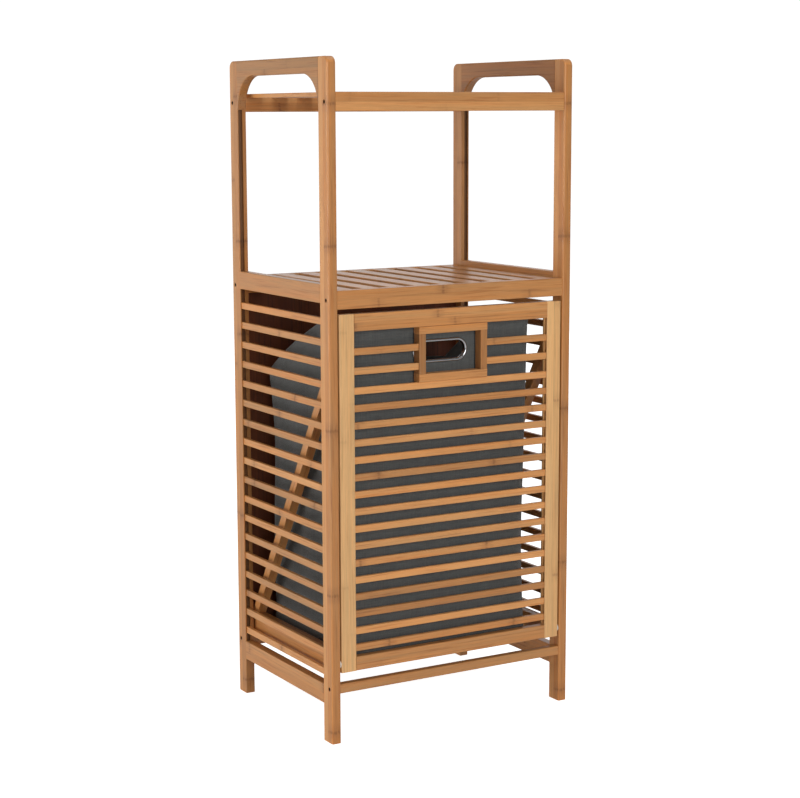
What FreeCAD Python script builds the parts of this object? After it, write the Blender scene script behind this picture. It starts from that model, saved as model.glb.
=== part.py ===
"""Bamboo tower cabinet: two slatted side frames, two slatted shelves and a tilt-out hamper door.

Millimetres. X runs left to right, Y front to back, Z up.
The origin is at floor level, in the middle of the footprint.
"""
import FreeCAD, Part
import math
import os

from FreeCAD import Vector

# overall size
WIDTH = 400.0
DEPTH = 300.0
HEIGHT = 950.0
HALF_W = WIDTH / 2
HALF_D = DEPTH / 2

# side frames
POST_X = 14.0
POST_Y = 25.0
POST_IN_X = HALF_W - POST_X
POST_IN_Y = HALF_D - POST_Y
CORNER_R = 10.0
OUTER_ROUND = 2.4
INNER_ROUND = 0.8
GRIP_ROUND = 1.8
EDGE_ROUND = 1.2
RAIL_ROUND = 1.5
SLAT_ROUND = 1.0
WINDOW_ROUND = 0.8
HANDLE_BAR_H = 22.0
ARCH_R = 48.0
ARCH_FOOT_Z = HEIGHT - HANDLE_BAR_H - ARCH_R
ARCH_TOE = 1.0
MID_SIDE_RAIL = (619.0, 645.0)
LOW_SIDE_RAIL = (54.0, 82.0)
SIDE_SLATS = 18
SIDE_SLAT_TOP = 599.0
SIDE_SLAT_PITCH = 29.1
SLAT_H = 9.8
SLAT_T = 6.0
SLAT_SETBACK = 2.0
SLAT_TENON = 3.5
GROOVE_DEPTH = 4.0
GROOVE_PLAY = 0.2

# shelves
RAIL_T = 14.0
RAIL_H = 26.0
RAIL_SETBACK = 1.5
TOP_SHELF_Z = 903.0
MID_SHELF_Z = 637.0
SHELF_SLATS = 9
SHELF_SLAT_PITCH = 41.7
SHELF_SLAT_W = 26.0
SHELF_SLAT_T = 6.0
LOW_FRONT_RAIL = (71.5, 85.0)
LOW_REAR_RAIL = (71.0, 95.0)
LOW_RAIL_T = 12.0

# rear panel, held in grooves in the rear posts and rails
PANEL_Y = (140.0, 144.0)
PANEL_LET_IN = 3.5
PANEL_Z = (LOW_REAR_RAIL[1] - PANEL_LET_IN, MID_SHELF_Z - RAIL_H + PANEL_LET_IN)

# door
DOOR_GAP = 2.0
DOOR_SETBACK = 1.0
DOOR_HALF_W = POST_IN_X - DOOR_GAP
DOOR_Z = (101.0, 604.0)
DOOR_FRONT = -HALF_D + DOOR_SETBACK
DOOR_T = 12.0
DOOR_BACK = DOOR_FRONT + DOOR_T
STILE_W = 24.0
STILE_IN_X = DOOR_HALF_W - STILE_W
DOOR_TOP_RAIL_H = 24.0
DOOR_LOW_RAIL_H = 20.0
DOOR_FULL_SLATS = 16
DOOR_FULL_SLAT_TOP = 502.0
DOOR_SLAT_PITCH = 24.25
DOOR_SHORT_SLAT_TOPS = (556.5, 529.5)
WINDOW_HALF_W = 45.5
WINDOW_Z = (513.5, 569.5)
JAMB_W = 11.0
WINDOW_DEPTH = 15.0

# tilt frame behind the door
PIVOT_Y = -143.0
PIVOT_Z = 113.0
PIN_R = 4.0
PIN_PLAY = 0.06
PIN_X = (170.0, 195.0)
PIN_END_PLAY = 0.5
WASHER_R = 5.5
WASHER_T = 1.7
BAR_X = 14.0
BAR_Z = (98.0, 126.0)
BAR_REAR = 132.0
BRACE_LEAN = 0.605
BRACE_FOOT = 16.6
CROSS_BAR_W = 20.0
FLOOR_SLATS = 4
FLOOR_SLAT_W = 30.0
FLOOR_SLAT_T = 8.0
FLOOR_SLAT_PITCH = 60.0
FLOOR_SLAT_FIRST_Y = -105.0
FLOOR_Z = (BAR_Z[0], BAR_Z[0] + FLOOR_SLAT_T)
TILT_IN_X = DOOR_HALF_W - BAR_X

# stop and rest pegs
PEG_X = (173.0, 191.5)
STOP_PEG_R = 5.0
STOP_PEG_YZ = (-130.5, 360.0)
REST_PEG_R = 3.5
REST_PEG_YZ = (130.0, 94.2)

# connecting screws
SCREW_HEAD_R = 3.0
SCREW_HEAD_T = 2.0
SCREW_SUNK = 0.8
SCREW_R = 2.0
SCREW_LENGTH = 40.0
SOCKET_AF = 3.0
SOCKET_DEPTH = 1.6

# laundry bag and its grommet
BAG_X = (-160.0, 148.0)
BAG_Y = (-131.0, 126.0)
BAG_Z = 106.5
BAG_WALL = 4.0
BAG_CORNER_R = 22.0
BAG_FRONT_TOP = 592.0
BAG_REAR_TOP = 497.0
BAG_SLOPE_Y = (-80.0, 112.0)
GROMMET_X = -12.0
GROMMET_Z = 543.0
GROMMET_SIZE = (91.0, 34.0)
GROMMET_RIM = 4.6
GROMMET_SLEEVE = 1.6
GROMMET_FLANGE_T = 2.3
GROMMET_ROUND = 1.4

SIDES = {"left": -1, "right": 1}


def box(xs, ys, zs):
    """Plain box between two values on each axis, given in either order."""
    low = [min(pair) for pair in (xs, ys, zs)]
    size = [abs(pair[1] - pair[0]) for pair in (xs, ys, zs)]
    return Part.makeBox(size[0], size[1], size[2], Vector(*low))


def runs_along(edge, axis):
    """True for a straight edge parallel to the named axis."""
    if not isinstance(edge.Curve, (Part.Line, Part.LineSegment)):
        return False
    direction = edge.tangentAt(edge.FirstParameter)
    return abs(abs(getattr(direction, axis)) - 1) < 1e-6


def bar(xs, ys, zs, along, radius=EDGE_ROUND):
    """Straight bar with its four long edges rounded."""
    solid = box(xs, ys, zs)
    return solid.makeFillet(radius, [edge for edge in solid.Edges if runs_along(edge, along)])


def rod(radius, xs, y, z):
    """Round rod along X."""
    start = Vector(min(xs), y, z)
    return Part.makeCylinder(radius, abs(xs[1] - xs[0]), start, Vector(1, 0, 0))


def yz_prism(points, xs):
    """Prism along X whose section is the closed outline of (y, z) points."""
    corners = [Vector(min(xs), y, z) for y, z in points]
    face = Part.Face(Part.makePolygon(corners + corners[:1]))
    return face.extrude(Vector(abs(xs[1] - xs[0]), 0, 0))


def stadium(width, height, ys):
    """Upright oval with straight long sides, extruded along Y, at the grommet's centre."""
    radius = height / 2
    reach = width / 2 - radius
    depth = ys[1] - ys[0]
    middle = box((GROMMET_X - reach, GROMMET_X + reach), ys, (GROMMET_Z - radius, GROMMET_Z + radius))
    ends = [Part.makeCylinder(radius, depth, Vector(GROMMET_X + side * reach, ys[0], GROMMET_Z),
                              Vector(0, 1, 0)) for side in (-1, 1)]
    return middle.fuse(ends).removeSplitter()


def screw_places():
    """Side, y and z of every connecting screw: one at each end of each cross rail."""
    front = -HALF_D + RAIL_SETBACK + RAIL_T / 2
    shelves = [TOP_SHELF_Z - RAIL_H / 2, MID_SHELF_Z - RAIL_H / 2]
    front_rows = [(front, z) for z in shelves + [sum(LOW_FRONT_RAIL) / 2]]
    rear_rows = [(-front, z) for z in shelves + [sum(LOW_REAR_RAIL) / 2]]
    return [(side, y, z) for side in (-1, 1) for y, z in front_rows + rear_rows]


def screw_body(side, y, z):
    """Cylinder head and shank, sunk below the outer face of a post."""
    head_out = side * (HALF_W - SCREW_SUNK)
    head_in = side * (HALF_W - SCREW_SUNK - SCREW_HEAD_T)
    head = rod(SCREW_HEAD_R, (head_out, head_in), y, z)
    shank = rod(SCREW_R, (head_in, head_in - side * SCREW_LENGTH), y, z)
    return head.fuse(shank)


def screw_hole(side, y, z):
    """The room a screw takes, with the open sinking above its head."""
    sinking = rod(SCREW_HEAD_R, (side * HALF_W, side * (HALF_W - SCREW_SUNK)), y, z)
    return screw_body(side, y, z).fuse(sinking)


def screw(side, y, z):
    """Connecting screw with a hexagon socket."""
    face_x = side * (HALF_W - SCREW_SUNK)
    socket_r = SOCKET_AF / math.sqrt(3)
    corners = [Vector(face_x, y + socket_r * math.cos(k * math.pi / 3),
                      z + socket_r * math.sin(k * math.pi / 3)) for k in range(7)]
    socket = Part.Face(Part.makePolygon(corners)).extrude(Vector(-side * SOCKET_DEPTH, 0, 0))
    return screw_body(side, y, z).cut(socket)


def post(side, end):
    """Upright of a side frame: side is -1 left, 1 right; end is -1 front, 1 rear."""
    outer_x = side * HALF_W
    inner_x = side * POST_IN_X
    inner_y = end * POST_IN_Y
    outer_y = end * HALF_D
    solid = box((outer_x, inner_x), (inner_y, outer_y), (0, HEIGHT))
    crown = [edge for edge in solid.Edges if runs_along(edge, "x")
             and abs(edge.CenterOfMass.z - HEIGHT) < 0.1 and abs(edge.CenterOfMass.y - outer_y) < 0.1]
    solid = solid.makeFillet(CORNER_R, crown)
    outer = [edge for edge in solid.Edges if runs_along(edge, "z")
             and abs(edge.CenterOfMass.y - outer_y) < 0.1]
    solid = solid.makeFillet(OUTER_ROUND, outer)
    inner = [edge for edge in solid.Edges if runs_along(edge, "z")
             and abs(edge.CenterOfMass.y - inner_y) < 0.1]
    solid = solid.makeFillet(INNER_ROUND, inner)
    slat_x = (outer_x - side * (SLAT_SETBACK - GROOVE_PLAY),
              outer_x - side * (SLAT_SETBACK + SLAT_T + GROOVE_PLAY))
    solid = solid.cut(box(slat_x, (inner_y, inner_y + end * GROOVE_DEPTH),
                          (LOW_SIDE_RAIL[1], ARCH_FOOT_Z)))
    for place in screw_places():
        if place[0] == side and place[1] * end > 0:
            solid = solid.cut(screw_hole(*place))
    if end < 0:
        solid = solid.cut(rod(PIN_R + PIN_PLAY, (inner_x, side * (PIN_X[1] + PIN_END_PLAY)), PIVOT_Y, PIVOT_Z))
        solid = solid.cut(rod(STOP_PEG_R, (inner_x, side * PEG_X[1]), *STOP_PEG_YZ))
    else:
        solid = solid.cut(rod(REST_PEG_R, (inner_x, side * PEG_X[1]), *REST_PEG_YZ))
        panel_edge = (inner_x, inner_x + side * PANEL_LET_IN)
        solid = solid.cut(box(panel_edge, PANEL_Y, PANEL_Z))
    return solid


def handle(side):
    """Handle board: a top bar with a quarter-round arch down to each post."""
    x = min(side * HALF_W, side * POST_IN_X)
    bar_z = HEIGHT - HANDLE_BAR_H
    centre_y = POST_IN_Y - ARCH_TOE - ARCH_R
    slant = ARCH_R * math.sqrt(0.5)

    def at(y, z):
        return Vector(x, y, z)

    outline = [Part.makeLine(at(-POST_IN_Y, ARCH_FOOT_Z), at(-POST_IN_Y, HEIGHT)),
               Part.makeLine(at(-POST_IN_Y, HEIGHT), at(POST_IN_Y, HEIGHT)),
               Part.makeLine(at(POST_IN_Y, HEIGHT), at(POST_IN_Y, ARCH_FOOT_Z)),
               Part.makeLine(at(POST_IN_Y, ARCH_FOOT_Z), at(centre_y + ARCH_R, ARCH_FOOT_Z)),
               Part.Arc(at(centre_y + ARCH_R, ARCH_FOOT_Z), at(centre_y + slant, ARCH_FOOT_Z + slant),
                        at(centre_y, bar_z)).toShape(),
               Part.makeLine(at(centre_y, bar_z), at(-centre_y, bar_z)),
               Part.Arc(at(-centre_y, bar_z), at(-centre_y - slant, ARCH_FOOT_Z + slant),
                        at(-centre_y - ARCH_R, ARCH_FOOT_Z)).toShape(),
               Part.makeLine(at(-centre_y - ARCH_R, ARCH_FOOT_Z), at(-POST_IN_Y, ARCH_FOOT_Z))]
    solid = Part.Face(Part.Wire(outline)).extrude(Vector(POST_X, 0, 0))
    top = [edge for edge in solid.Edges if runs_along(edge, "y")
           and abs(edge.CenterOfMass.z - HEIGHT) < 0.1]
    solid = solid.makeFillet(OUTER_ROUND, top)
    grip = [edge for edge in solid.Edges if ARCH_FOOT_Z + 1 < edge.CenterOfMass.z < bar_z + 0.1
            and abs(edge.CenterOfMass.y) < POST_IN_Y - ARCH_TOE and edge.Length > POST_X + 1]
    return solid.makeFillet(GRIP_ROUND, grip)


def side_rail(side, zs):
    return bar((side * HALF_W, side * POST_IN_X), (-POST_IN_Y, POST_IN_Y), zs, "y")


def side_slats(side):
    """Horizontal slats whose ends sit in the grooves of the posts."""
    xs = (side * (HALF_W - SLAT_SETBACK), side * (HALF_W - SLAT_SETBACK - SLAT_T))
    reach = POST_IN_Y + SLAT_TENON
    tops = [SIDE_SLAT_TOP - SIDE_SLAT_PITCH * k for k in range(SIDE_SLATS)]
    return Part.Compound([bar(xs, (-reach, reach), (top - SLAT_H, top), "y", SLAT_ROUND) for top in tops])


def cross_rail(end, zs, thickness=RAIL_T):
    """Rail from post to post; end is -1 for the front, 1 for the rear."""
    outer = end * (HALF_D - RAIL_SETBACK)
    solid = bar((-POST_IN_X, POST_IN_X), (outer, outer - end * thickness), zs, "x", RAIL_ROUND)
    for place in screw_places():
        if place[1] * end > 0 and zs[0] < place[2] < zs[1]:
            solid = solid.cut(screw_hole(*place))
    if end > 0 and zs[0] < PANEL_Z[1]:
        solid = solid.cut(box((-POST_IN_X, POST_IN_X), PANEL_Y, PANEL_Z))
    return solid


def shelf_slats(top_z):
    """Slats running front to back between the two rails, flush with their tops."""
    reach = HALF_D - RAIL_SETBACK - RAIL_T
    middle = (SHELF_SLATS - 1) / 2
    slats = []
    for k in range(SHELF_SLATS):
        x = (k - middle) * SHELF_SLAT_PITCH
        xs = (x - SHELF_SLAT_W / 2, x + SHELF_SLAT_W / 2)
        slats.append(bar(xs, (-reach, reach), (top_z - SHELF_SLAT_T, top_z), "y"))
    return Part.Compound(slats)


def rear_panel():
    reach = POST_IN_X + PANEL_LET_IN
    return box((-reach, reach), PANEL_Y, PANEL_Z)


def stile(side):
    """Door upright with a groove for the slats and a hole for the pivot pin."""
    xs = (side * STILE_IN_X, side * DOOR_HALF_W)
    solid = bar(xs, (DOOR_FRONT, DOOR_BACK), DOOR_Z, "z", RAIL_ROUND)
    groove_y = (DOOR_FRONT + SLAT_SETBACK - GROOVE_PLAY, DOOR_FRONT + SLAT_SETBACK + SLAT_T + GROOVE_PLAY)
    groove_z = (DOOR_Z[0] + DOOR_LOW_RAIL_H, DOOR_Z[1] - DOOR_TOP_RAIL_H)
    solid = solid.cut(box((side * STILE_IN_X, side * (STILE_IN_X + GROOVE_DEPTH)), groove_y, groove_z))
    return solid.cut(rod(PIN_R, (side * PIN_X[0], side * DOOR_HALF_W), PIVOT_Y, PIVOT_Z))


def door_rail(zs):
    return bar((-STILE_IN_X, STILE_IN_X), (DOOR_FRONT, DOOR_BACK), zs, "x", RAIL_ROUND)


def door_slat(xs, top):
    ys = (DOOR_FRONT + SLAT_SETBACK, DOOR_FRONT + SLAT_SETBACK + SLAT_T)
    return bar(xs, ys, (top - SLAT_H, top), "x", SLAT_ROUND)


def door_slats():
    reach = STILE_IN_X + SLAT_TENON
    tops = [DOOR_FULL_SLAT_TOP - DOOR_SLAT_PITCH * k for k in range(DOOR_FULL_SLATS)]
    return Part.Compound([door_slat((-reach, reach), top) for top in tops])


def door_short_slats(side):
    xs = (side * (WINDOW_HALF_W + JAMB_W), side * (STILE_IN_X + SLAT_TENON))
    return Part.Compound([door_slat(xs, top) for top in DOOR_SHORT_SLAT_TOPS])


def window_strip(zs):
    """Header or sill of the hand window."""
    reach = WINDOW_HALF_W + JAMB_W
    return bar((-reach, reach), (DOOR_FRONT, DOOR_FRONT + WINDOW_DEPTH), zs, "x", WINDOW_ROUND)


def window_jamb(side):
    xs = (side * WINDOW_HALF_W, side * (WINDOW_HALF_W + JAMB_W))
    return bar(xs, (DOOR_FRONT, DOOR_FRONT + WINDOW_DEPTH), WINDOW_Z, "z", WINDOW_ROUND)


def bottom_bar(side):
    return bar((side * TILT_IN_X, side * DOOR_HALF_W), (DOOR_BACK, BAR_REAR), BAR_Z, "y")


def brace(side):
    """Diagonal from the rear end of the bottom bar up to the back of the stile."""
    rear_y = BAR_REAR
    front_y = BAR_REAR - BRACE_FOOT
    rear_rise = (rear_y - DOOR_BACK) / BRACE_LEAN
    front_rise = (front_y - DOOR_BACK) / BRACE_LEAN
    foot_z = BAR_Z[1]
    outline = [(rear_y, foot_z), (front_y, foot_z),
               (DOOR_BACK, foot_z + front_rise), (DOOR_BACK, foot_z + rear_rise)]
    return yz_prism(outline, (side * TILT_IN_X, side * DOOR_HALF_W))


def tilt_cross_bar():
    """Rearmost slat of the tilt frame's floor, flush with the ends of the bottom bars."""
    return bar((-TILT_IN_X, TILT_IN_X), (BAR_REAR - CROSS_BAR_W, BAR_REAR), FLOOR_Z, "x")


def tilt_floor_slat(k):
    """One of the slats across the tilt frame that carry the bag, counted from the front."""
    y = FLOOR_SLAT_FIRST_Y + FLOOR_SLAT_PITCH * k
    ys = (y - FLOOR_SLAT_W / 2, y + FLOOR_SLAT_W / 2)
    return bar((-TILT_IN_X, TILT_IN_X), ys, FLOOR_Z, "x")


def pivot_washer(side):
    xs = (side * DOOR_HALF_W, side * (DOOR_HALF_W + WASHER_T))
    return rod(WASHER_R, xs, PIVOT_Y, PIVOT_Z).cut(rod(PIN_R, xs, PIVOT_Y, PIVOT_Z))


def laundry_bag():
    """Open-topped bag: level rim in front, sloping down along the sides to a lower back."""
    high = BAG_FRONT_TOP + BAG_WALL
    outer = bar(BAG_X, BAG_Y, (BAG_Z, high), "z", BAG_CORNER_R)
    room = bar((BAG_X[0] + BAG_WALL, BAG_X[1] - BAG_WALL), (BAG_Y[0] + BAG_WALL, BAG_Y[1] - BAG_WALL),
               (BAG_Z + BAG_WALL, high), "z", BAG_CORNER_R - BAG_WALL)
    outline = [(BAG_Y[0] - 1, BAG_Z), (BAG_Y[0] - 1, BAG_FRONT_TOP), (BAG_SLOPE_Y[0], BAG_FRONT_TOP),
               (BAG_SLOPE_Y[1], BAG_REAR_TOP), (BAG_Y[1] + 1, BAG_REAR_TOP), (BAG_Y[1] + 1, BAG_Z)]
    shell = outer.cut(room).common(yz_prism(outline, (BAG_X[0] - 1, BAG_X[1] + 1)))
    hole = stadium(GROMMET_SIZE[0] - 2 * (GROMMET_RIM - GROMMET_SLEEVE),
                   GROMMET_SIZE[1] - 2 * (GROMMET_RIM - GROMMET_SLEEVE),
                   (BAG_Y[0] - 1, BAG_Y[0] + BAG_WALL + 1))
    return shell.cut(hole)


def grommet():
    """Oval ring pressed through the bag's front: a flange each side, joined by a sleeve."""
    front = (BAG_Y[0] - GROMMET_FLANGE_T, BAG_Y[0])
    back = (BAG_Y[0] + BAG_WALL, BAG_Y[0] + BAG_WALL + GROMMET_FLANGE_T)
    sleeve_cut = 2 * (GROMMET_RIM - GROMMET_SLEEVE)
    flange = stadium(*GROMMET_SIZE, front)
    edges = [edge for edge in flange.Edges if abs(edge.CenterOfMass.y - front[0]) < 0.01]
    flange = flange.makeFillet(GROMMET_ROUND, edges)
    ring = flange.fuse([stadium(*GROMMET_SIZE, back),
                        stadium(GROMMET_SIZE[0] - sleeve_cut, GROMMET_SIZE[1] - sleeve_cut,
                                (front[0], back[1]))])
    hole = stadium(GROMMET_SIZE[0] - 2 * GROMMET_RIM, GROMMET_SIZE[1] - 2 * GROMMET_RIM,
                   (front[0] - 1, back[1] + 1))
    return ring.cut(hole).removeSplitter()


def build():
    """Every node's name and shape."""
    nodes = {}
    for name, side in SIDES.items():
        nodes[name + "_front_post"] = post(side, -1)
        nodes[name + "_rear_post"] = post(side, 1)
        nodes[name + "_handle"] = handle(side)
        nodes[name + "_mid_rail"] = side_rail(side, MID_SIDE_RAIL)
        nodes[name + "_low_rail"] = side_rail(side, LOW_SIDE_RAIL)
        nodes[name + "_side_slats"] = side_slats(side)
        peg_xs = (side * PEG_X[0], side * PEG_X[1])
        nodes[name + "_stop_peg"] = rod(STOP_PEG_R, peg_xs, *STOP_PEG_YZ)
        nodes[name + "_rest_peg"] = rod(REST_PEG_R, peg_xs, *REST_PEG_YZ)
        nodes[name + "_door_stile"] = stile(side)
        nodes[name + "_door_short_slats"] = door_short_slats(side)
        nodes[name + "_window_jamb"] = window_jamb(side)
        nodes[name + "_tilt_bar"] = bottom_bar(side)
        nodes[name + "_tilt_brace"] = brace(side)
        nodes[name + "_pivot_pin"] = rod(PIN_R, (side * PIN_X[0], side * PIN_X[1]), PIVOT_Y, PIVOT_Z)
        nodes[name + "_pivot_washer"] = pivot_washer(side)
    for name, top in (("top_shelf", TOP_SHELF_Z), ("mid_shelf", MID_SHELF_Z)):
        nodes[name + "_front_rail"] = cross_rail(-1, (top - RAIL_H, top))
        nodes[name + "_rear_rail"] = cross_rail(1, (top - RAIL_H, top))
        nodes[name + "_slats"] = shelf_slats(top)
    nodes["low_front_rail"] = cross_rail(-1, LOW_FRONT_RAIL, LOW_RAIL_T)
    nodes["low_rear_rail"] = cross_rail(1, LOW_REAR_RAIL, RAIL_T)
    nodes["rear_panel"] = rear_panel()
    nodes["frame_screws"] = Part.Compound([screw(*place) for place in screw_places()])
    nodes["door_top_rail"] = door_rail((DOOR_Z[1] - DOOR_TOP_RAIL_H, DOOR_Z[1]))
    nodes["door_bottom_rail"] = door_rail((DOOR_Z[0], DOOR_Z[0] + DOOR_LOW_RAIL_H))
    nodes["door_slats"] = door_slats()
    nodes["window_header"] = window_strip((WINDOW_Z[1], DOOR_Z[1] - DOOR_TOP_RAIL_H))
    nodes["window_sill"] = window_strip((DOOR_FULL_SLAT_TOP, WINDOW_Z[0]))
    nodes["tilt_cross_bar"] = tilt_cross_bar()
    for k in range(FLOOR_SLATS):
        nodes["tilt_floor_slat_" + str(k + 1)] = tilt_floor_slat(k)
    nodes["laundry_bag"] = laundry_bag()
    nodes["bag_grommet"] = grommet()
    return nodes


def main():
    os.makedirs("parts", exist_ok=True)
    for name, shape in build().items():
        for solid in shape.Solids:
            assert solid.isValid() and solid.Volume > 0, name
        shape.exportStep("parts/" + name + ".step")
        print(name, len(shape.Solids), "solids,", round(shape.Volume / 1000, 1), "cm3")


main()
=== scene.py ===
"""Bamboo tower cabinet with two slatted shelves and a tilt-out slatted door carrying a laundry bag.

Metres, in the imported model's own frame: X runs left to right, Y front to back, Z up.
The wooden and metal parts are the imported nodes, which get bamboo and metal materials here.
The bag, its stitching and its oval ring are surfaces worked out from two parameters.
"""

import math

import bpy
import numpy as np
from mathutils import Euler, Matrix, Vector


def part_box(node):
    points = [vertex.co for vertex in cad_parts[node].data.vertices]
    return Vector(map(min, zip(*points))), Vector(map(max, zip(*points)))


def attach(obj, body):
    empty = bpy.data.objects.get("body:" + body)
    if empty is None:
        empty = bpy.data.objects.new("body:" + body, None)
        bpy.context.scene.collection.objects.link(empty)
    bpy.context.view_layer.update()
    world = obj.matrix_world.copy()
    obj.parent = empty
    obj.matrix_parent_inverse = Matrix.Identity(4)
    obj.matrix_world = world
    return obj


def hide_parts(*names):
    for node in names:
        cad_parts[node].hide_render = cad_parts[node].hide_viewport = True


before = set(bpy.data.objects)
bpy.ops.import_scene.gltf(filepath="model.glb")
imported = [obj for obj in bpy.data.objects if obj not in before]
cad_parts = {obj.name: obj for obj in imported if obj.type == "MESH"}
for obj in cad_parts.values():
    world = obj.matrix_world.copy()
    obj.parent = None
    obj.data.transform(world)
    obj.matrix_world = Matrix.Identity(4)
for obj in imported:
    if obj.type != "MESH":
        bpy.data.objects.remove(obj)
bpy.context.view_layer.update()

DOOR = "tilt_door"
MM = 0.001
WHITE = (1.0, 1.0, 1.0, 1.0)

# slat counts and sizes that a material needs to find each slat of a grouped node
SIDE_SLATS = 18
DOOR_SLATS = 16
DOOR_SHORT_SLATS = 2
SHELF_SLATS = 9
TILT_FLOOR_SLATS = 4
THIN_SLAT_H = 9.8 * MM
SHELF_SLAT_W = 26.0 * MM

# the tilt frame's braces lean back from upright by this slope, run over rise
BRACE_LEAN = 0.605

# the posts' slat grooves, which get painted shade: their span across from the cabinet's middle, where the
# painted shade on their walls starts and is full front to back, where they end, and how dark the painted
# shade is
GROOVE_X = (191.6 * MM, 198.4 * MM)
GROOVE_SHADE_Y = (125.3 * MM, 128.5 * MM)
GROOVE_END = 129.5 * MM
GROOVE_SHADE = 0.30

# bamboo colours: a pale strip, a warm strip, an orange vein, and the brown of a culm's node;
# then the paler door stiles' own, and the rear panel's, which are dark with painted shade
PALE_BAMBOO = (0.640, 0.316, 0.112, 1.0)
WARM_BAMBOO = (0.545, 0.212, 0.052, 1.0)
VEIN_BAMBOO = (0.400, 0.130, 0.028, 1.0)
NODE_BAMBOO = (0.230, 0.080, 0.022, 1.0)
STILE_PALE = (0.800, 0.470, 0.198, 1.0)
STILE_WARM = (0.720, 0.385, 0.145, 1.0)
STILE_VEIN = (0.600, 0.300, 0.105, 1.0)
SHADED_PANEL_PALE = (0.180, 0.046, 0.009, 1.0)
SHADED_PANEL_WARM = (0.105, 0.021, 0.004, 1.0)
SHADED_PANEL_VEIN = (0.050, 0.010, 0.002, 1.0)

# a culm's node: the share of its spacing that it may lie in, how far its line wanders, and how far
# from its middle the dark line and the soft blush begin and are full; then the same two distances
# from a strip's edge for the glue line
NODE_STRAY = 0.56
NODE_WANDER = 6 * MM
NODE_LINE = (3.6 * MM, 0.2 * MM)
NODE_BLUSH = (17 * MM, 2 * MM)
GLUE_SEAM = (0.40 * MM, 0.05 * MM)

# numbers that only keep one strip's or layer's noise apart from the next one's
STRIP_NODE_SHIFT = 9.7
STRIP_GRAIN_SHIFT = 3.1
LAYER_SHIFT = 5.3

# bag
THREAD_PITCH = 0.8 * MM
BAG_CORNER_R = 32 * MM
BAG_RIM_CORNER_R = 20 * MM
BAG_TAPER = 5 * MM
BAG_FOOT_R = 9 * MM
BAG_CLOTH_T = 1.6 * MM
BAG_SLOPE_START_Y = -80 * MM
BAG_SLOPE_END_Y = 112 * MM
BAG_REAR_DROP = 95 * MM
BAG_RIM_PLAY = 0.5 * MM
SIDE_BELLY = 3.2 * MM
REAR_BELLY = 4.0 * MM
FRONT_SLACK = 0.6 * MM
FRONT_MOST_OUT = 1.4 * MM
CORNER_SEAM_R = 1.1 * MM
CORNER_SEAM_SHARE = 0.10
CORNER_SEAM_FADE = 3 * MM
FOOT_SEAM_Z = 13 * MM
FOOT_SEAM_R = 1.2 * MM
FOOT_SEAM_W = 1.3 * MM
BAG_FLOOR_Z = 0.3 * MM
BAG_FLOOR_SAG = 0.25 * MM
BAG_FLOOR_MIDDLE_Z = 0.05 * MM

# hem and its stitches
HEM_DEPTH = 22 * MM
HEM_PROUD = 1.0 * MM
HEM_EDGE = 0.8 * MM
STITCH_ABOVE_HEM_EDGE = 3 * MM
STITCH_PULL = 0.45 * MM
STITCH_PULL_W = 0.9 * MM
STITCH_LENGTH = 3.4 * MM
STITCH_PITCH = 4.6 * MM
STITCH_R = 0.45 * MM

# oval ring
RING_RIM = 4.6 * MM
RING_SLEEVE = 1.6 * MM
RING_PLAY = 0.7 * MM
RING_BACK_GAP = 2.2 * MM
RING_BACK_T = 1.6 * MM
RING_FRONT_GAP = 0.05 * MM

# studio floor, and the white added to it as the camera sees it, so that it meets the surroundings
# without an edge
FLOOR_HALF = 14.0
FLOOR_LIFT = 0.84

# surroundings: how strongly they light the object, and how bright they are behind it
WORLD_LIGHT = 0.24
WORLD_SEEN = 1.05

# studio lights: name, place, point aimed at, side of the square, and power
LIGHTS = (
    ("left", (-3.8, 0.7, 0.6), (0, 0, 0.35), 1.8, 76),
    ("front", (-0.7, -4.2, 1.5), (0, 0, 0.4), 2.0, 80),
    ("overhead", (0.3, -0.5, 3.3), (0, 0, 0.5), 2.2, 24),
    ("rear", (2.0, 4.0, 1.5), (0, 0, 0.6), 2.6, 18),
    ("rim", (-2.1, 3.7, 0.6), (-0.2, 0, 0.3), 1.8, 7))


# ---------------------------------------------------------------- node trees

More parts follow.
